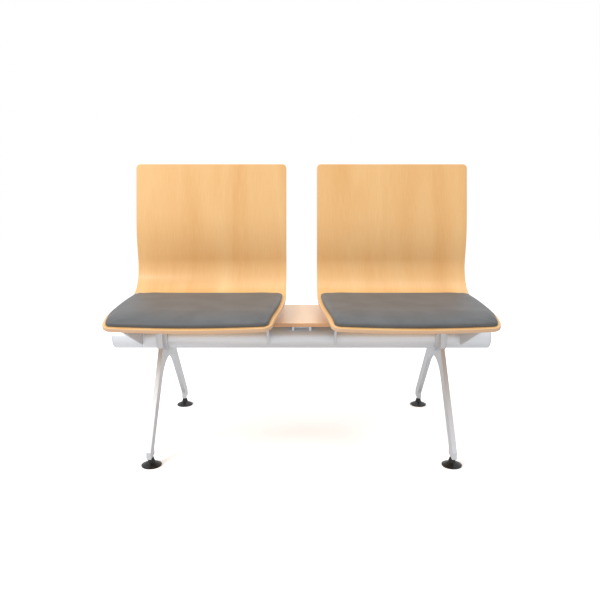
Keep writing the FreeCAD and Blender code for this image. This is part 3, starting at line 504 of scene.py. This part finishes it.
def settle(piece, start, x_shift, grain_shift):
    """Caps the swelling at the pad's thickness and crown, keeps the flat place and bends the pad on to
    its shell.
    """
    limit = PAD_THICK + PAD_CROWN
    bm = bmesh.new()
    bm.from_mesh(piece.data)
    flat = bm.verts.layers.float_vector.new("flat")
    for v, before in zip(bm.verts, start):
        moved = v.co - before
        if moved.length > 3 * MM:
            v.co = before + moved.normalized() * 3 * MM
        v.co.z = min(0.0, max(-limit, v.co.z))
    for v in bm.verts:
        v[flat] = v.co + Vector((grain_shift, 0, 0))
        v.co = bent(eased(v.co)) + Vector((x_shift, 0, 0))
    bmesh.ops.recalc_face_normals(bm, faces=bm.faces)
    bm.to_mesh(piece.data)
    bm.free()
    for polygon in piece.data.polygons:
        polygon.use_smooth = True


for side, sign in (("left", -1), ("right", 1)):
    pad = make_object(pad_block(), "pad_" + side, [leather])
    before = puff(pad)
    settle(pad, before, sign * SEAT_X, sign * 0.7)
    smooth = pad.modifiers.new("smooth", "SUBSURF")
    smooth.levels = 1
    smooth.render_levels = 1
    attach(pad, "frame")
    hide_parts("seat_pad_" + side)
    print(pad.name, "points:", len(pad.data.vertices))

# %% [markdown]
# The table between the seats is a flat board of the same plywood, with rounded corners. It is cut
# and eased exactly as the shells are, but stays flat, with its grain across the beam.

# %% The table
lowest, highest = (Vector(corner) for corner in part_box("table_top"))
table_size = (highest.x - lowest.x, highest.y - lowest.y)
TABLE_PLY = highest.z - lowest.z
TABLE_CORNER = 20 * MM
TABLE_EASING = (1.0 * MM, 2)
table_edge = ply_edge_material("table_edge", "e2b488", "cc9062", TABLE_PLY)
bm = flat_sheet(table_size, (TABLE_CORNER, TABLE_CORNER), TABLE_PLY, TABLE_EASING, [], [])
for f in bm.faces:
    f.material_index = 1 if abs(f.normal.z) < 0.8 else 0
flat = bm.verts.layers.float_vector.new("flat")
for v in bm.verts:
    v[flat] = v.co.copy()
    v.co = Vector((v.co.x, lowest.y + v.co.y, highest.z - v.co.z))
bmesh.ops.recalc_face_normals(bm, faces=bm.faces)
table = make_object(bm, "table", [table_maple, table_edge])
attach(table, "frame")
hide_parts("table_top")

# %% [markdown]
# The pieces that keep their CAD form only need the right finish: the beam and its caps, the legs
# and arms, the bracket, the glides and every screw.

# %% Finishes of the carried-over pieces
FINISHES = [
    (("beam",), satin_extrusion),
    (("beam_cap", "leg", "seat_arm", "table_bracket"), silver_casting),
    (("glide_disc",), black_glide),
    (("glide_stud", "leg_screws", "arm_screws", "seat_screws", "bracket_screws", "table_screws"),
     zinc_steel),
    (("pad_board",), board_wood),
]


def finish_of(name):
    """The material of a CAD node, by the longest start of its name in the table above."""
    found = [(len(start), material) for starts, material in FINISHES for start in starts
             if name.startswith(start)]
    return max(found, key=lambda pair: pair[0])[1] if found else None


for name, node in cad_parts.items():
    material = finish_of(name)
    if material and node.material_slots:
        for slot in node.material_slots:
            slot.material = material
    elif material:
        node.data.materials.append(material)

# %% [markdown]
# The floor is plain white and the background too, as in a catalogue. The camera sees the world as
# pure white, and so do reflections, while the world that lights the object is a soft grey dome. The
# camera also sees the floor paler than it is, which takes the horizon away, keeps the shadows and
# sends no more light on to the object. A large lamp high on the left throws the shadows to the right.

# %% Floor, world and lamps
FLOOR_TONE = 0.86
FLOOR_TONE_SEEN = 1.6
floor_material, floor_out = new_material("pale_floor")
floor_path = add(floor_material, "LightPath")
floor_tone = add(floor_material, "MapRange", {"Value": floor_path.outputs["Is Camera Ray"],
                                              "To Min": FLOOR_TONE, "To Max": FLOOR_TONE_SEEN})
floor_shader = add(floor_material, "BsdfDiffuse", {"Color": floor_tone.outputs[0]})
floor_material.node_tree.links.new(floor_shader.outputs[0], floor_out.inputs["Surface"])
bm = bmesh.new()
bmesh.ops.create_grid(bm, x_segments=2, y_segments=2, size=8)
floor = make_object(bm, "floor", [floor_material], smooth=False)

world = bpy.data.worlds.new("studio")
world.use_nodes = True
world.node_tree.nodes.clear()
bpy.context.scene.world = world


path = add(world, "LightPath")
seen = add(world, "Math", {0: path.outputs["Is Camera Ray"], 1: path.outputs["Is Glossy Ray"]},
           operation="MAXIMUM")
seen_through = add(world, "Math", {0: seen.outputs[0], 1: path.outputs["Is Transmission Ray"]},
                   operation="MAXIMUM")
white = add(world, "Background", {"Color": (1, 1, 1, 1), "Strength": 1.0})
dome = add(world, "Background", {"Color": (1, 1, 1, 1), "Strength": 0.64})
choice = add(world, "MixShader", {0: seen_through.outputs[0], 1: dome.outputs[0],
                                  2: white.outputs[0]})
add(world, "OutputWorld", {"Surface": choice.outputs[0]})


def area_lamp(name, place, target, size, power):
    """A soft square lamp that points at a target."""
    data = bpy.data.lights.new(name, "AREA")
    data.shape = "SQUARE"
    data.size = size
    data.energy = power
    lamp = bpy.data.objects.new(name, data)
    lamp.location = place
    lamp.rotation_euler = (Vector(target) - Vector(place)).to_track_quat("-Z", "Y").to_euler()
    bpy.context.collection.objects.link(lamp)


MIDDLE = (0, 0.1, 0.4)
area_lamp("key", (-2.2, -1.8, 3.0), MIDDLE, 1.6, 62)
area_lamp("top", (0.3, 0.2, 3.2), MIDDLE, 2.5, 28)

bpy.context.scene.view_settings.view_transform = "Standard"
